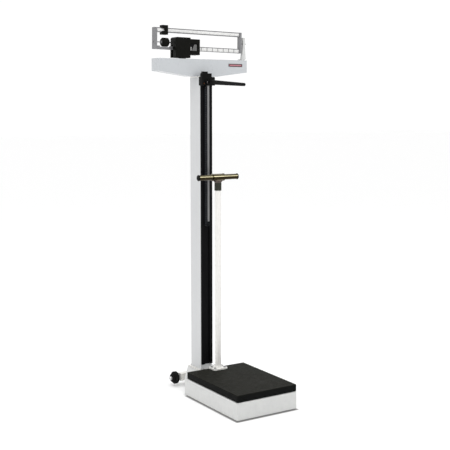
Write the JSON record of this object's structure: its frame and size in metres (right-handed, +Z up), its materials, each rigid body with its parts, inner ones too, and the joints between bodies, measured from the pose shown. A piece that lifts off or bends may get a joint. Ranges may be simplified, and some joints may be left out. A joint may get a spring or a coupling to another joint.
{
  "type": "physician beam scale",
  "caption": "Upright weighing scale: lever platform with a handpost, column with a telescoping height rod, and a balance beam with sliding poises above a tapered box.",
  "frame": {"origin": "on the floor under the middle of the whole scale: X = 0 is the centre plane of the column, Y = 0 is half way between the front edge of the base and the back of the wheels", "axes": "+X towards the right when facing the scale from the platform side, +Y from the platform towards the column and the wheels, +Z up"},
  "size_m": [0.4382, 0.5538, 1.4845],
  "materials": {
    "white_casting": "light grey textured enamel over a casting",
    "white_enamel": "light grey-white enamel",
    "white_box": "cool white enamel",
    "post_enamel": "bright white enamel",
    "beam_casting": "grey enamel",
    "beam_scale": "white scale strip with dark lines",
    "black_channel": "satin black",
    "black_rod": "semi-gloss black with light marks",
    "poise_iron": "semi-gloss black over a casting",
    "head_plastic": "moulded black",
    "black_collar": "moulded black",
    "black_rubber": "black rubber",
    "mat_rubber": "ribbed black rubber mat",
    "platform_steel": "dark enamel",
    "lever_iron": "grey painted iron",
    "bright_steel": "machined steel",
    "bright_chrome": "chrome plate",
    "rod_aluminium": "anodised extrusion",
    "bush_brass": "turned brass",
    "red_plate": "plain plate with a dark rim"
  },
  "bodies": {
    "stand": {"base_pan": "white_casting", "rubber_feet": "black_rubber", "foot_screws": "bright_steel", "lever_stands": "lever_iron", "lever_bearings": "bright_steel", "column_tube": "white_enamel", "column_flanges": "white_enamel", "column_bolts": "bright_steel", "guide_channel": "black_channel", "channel_screws": "bright_steel", "box_shell": "white_box", "box_back_cover": "white_box", "box_screws": "bright_steel", "box_shelf": "lever_iron", "shelf_bolts": "bright_steel", "beam_stands": "lever_iron", "trig_loop": "white_casting", "nameplate": "red_plate", "wheel_brackets": "white_enamel", "wheel_axle": "bright_steel", "axle_nuts": "bright_chrome"},
    "left_wheel": {"wheel_left": "black_rubber"},
    "right_wheel": {"wheel_right": "black_rubber"},
    "platform": {"platform_plate": "platform_steel", "platform_mat": "mat_rubber", "platform_bearings": "lever_iron", "post_flange": "post_enamel", "post_screws": "bright_steel", "post_tube": "post_enamel", "post_collar": "black_collar", "tee_fitting": "bright_chrome", "crossbar": "bright_chrome", "bar_caps": "black_collar"},
    "main_lever": {"long_lever": "lever_iron", "long_lever_knives": "bright_steel", "lever_saddle": "bright_steel"},
    "back_lever": {"short_lever": "lever_iron", "short_lever_knives": "bright_steel"},
    "drawbar": {"draw_rod": "bright_steel"},
    "box_lever": {"transfer_lever": "lever_iron", "transfer_knives": "bright_steel"},
    "link": {"beam_link": "bright_steel"},
    "beam": {"beam_frame": "beam_casting", "scale_strips": "beam_scale", "beam_knives": "bright_steel", "beam_tip": "beam_casting", "balance_screw": "bright_steel"},
    "bush": {"balance_bush": "bush_brass"},
    "ball": {"balance_ball": "poise_iron"},
    "large_poise": {"main_poise": "poise_iron", "poise_window": "bright_steel"},
    "fine_poise": {"small_poise": "poise_iron"},
    "lower_rod": {"outer_rod": "black_rod", "rod_button": "bright_chrome"},
    "upper_rod": {"inner_rod": "rod_aluminium", "head_block": "head_plastic", "arm_pin": "bright_steel"},
    "headpiece": {"head_arm": "head_plastic"}
  },
  "joints": [
    {"name": "beam_tilt", "type": "hinge", "parent": "stand", "child": "beam", "pos_m": [-0.084, 0.21072, 1.33], "axis": [0, 1, 0], "range_deg": [-1.7, 0]},
    {"name": "beam_link_slide", "type": "slide", "parent": "stand", "child": "link", "axis": [0, 0, 1], "range_m": [-0.0008, 0]},
    {"name": "transfer_tilt", "type": "hinge", "parent": "stand", "child": "box_lever", "pos_m": [0.036, 0.21072, 1.3092], "axis": [0, 1, 0], "range_deg": [-0.3, 0]},
    {"name": "draw_rod_slide", "type": "slide", "parent": "stand", "child": "drawbar", "axis": [0, 0, 1], "range_m": [-0.0002, 0]},
    {"name": "main_lever_tilt", "type": "hinge", "parent": "stand", "child": "main_lever", "pos_m": [0, -0.23688, 0.035], "axis": [1, 0, 0], "range_deg": [-0.025, 0]},
    {"name": "back_lever_tilt", "type": "hinge", "parent": "stand", "child": "back_lever", "pos_m": [0, 0.06313, 0.051], "axis": [1, 0, 0], "range_deg": [0, 0.04]},
    {"name": "platform_float", "type": "slide", "parent": "stand", "child": "platform", "axis": [0, 0, 1], "range_m": [-0.00002, 0]},
    {"name": "main_poise_slide", "type": "slide", "parent": "beam", "child": "large_poise", "axis": [0.9999, 0, -0.0148], "range_m": [0, 0.16]},
    {"name": "small_poise_slide", "type": "slide", "parent": "beam", "child": "fine_poise", "axis": [0.9999, 0, -0.0148], "range_m": [0, 0.3]},
    {"name": "balance_bush_slide", "type": "slide", "parent": "beam", "child": "bush", "axis": [0.9999, 0, -0.0148], "range_m": [-0.0075, 0.0075]},
    {"name": "balance_ball_spin", "type": "hinge", "parent": "bush", "child": "ball", "pos_m": [-0.1637, 0.21072, 1.41849], "axis": [0.9999, 0, -0.0148], "range_deg": [-1800, 1800]},
    {"name": "outer_rod_slide", "type": "slide", "parent": "stand", "child": "lower_rod", "axis": [0, 0, 1], "range_m": [0, 0.42]},
    {"name": "inner_rod_slide", "type": "slide", "parent": "lower_rod", "child": "upper_rod", "axis": [0, 0, 1], "range_m": [0, 0.42]},
    {"name": "head_arm_fold", "type": "hinge", "parent": "upper_rod", "child": "headpiece", "pos_m": [0, 0.13462, 1.263], "axis": [1, 0, 0], "range_deg": [0, 86]},
    {"name": "wheel_left_spin", "type": "hinge", "parent": "stand", "child": "left_wheel", "pos_m": [-0.105, 0.25112, 0.03425], "axis": [1, 0, 0], "continuous": true},
    {"name": "wheel_right_spin", "type": "hinge", "parent": "stand", "child": "right_wheel", "pos_m": [0.105, 0.25112, 0.03425], "axis": [1, 0, 0], "continuous": true}
  ],
  "couplings": [
    {"joint": "beam_link_slide", "follows": "beam_tilt", "m_per_rad": 0.025},
    {"joint": "transfer_tilt", "follows": "beam_tilt", "ratio": 0.17241},
    {"joint": "draw_rod_slide", "follows": "beam_tilt", "m_per_rad": 0.0062069},
    {"joint": "main_lever_tilt", "follows": "beam_tilt", "ratio": 0.013867},
    {"joint": "back_lever_tilt", "follows": "beam_tilt", "ratio": -0.022308},
    {"joint": "platform_float", "follows": "beam_tilt", "m_per_rad": 0.00055468},
    {"joint": "balance_bush_slide", "follows": "balance_ball_spin", "m_per_rad": 0.00023873}
  ]
}
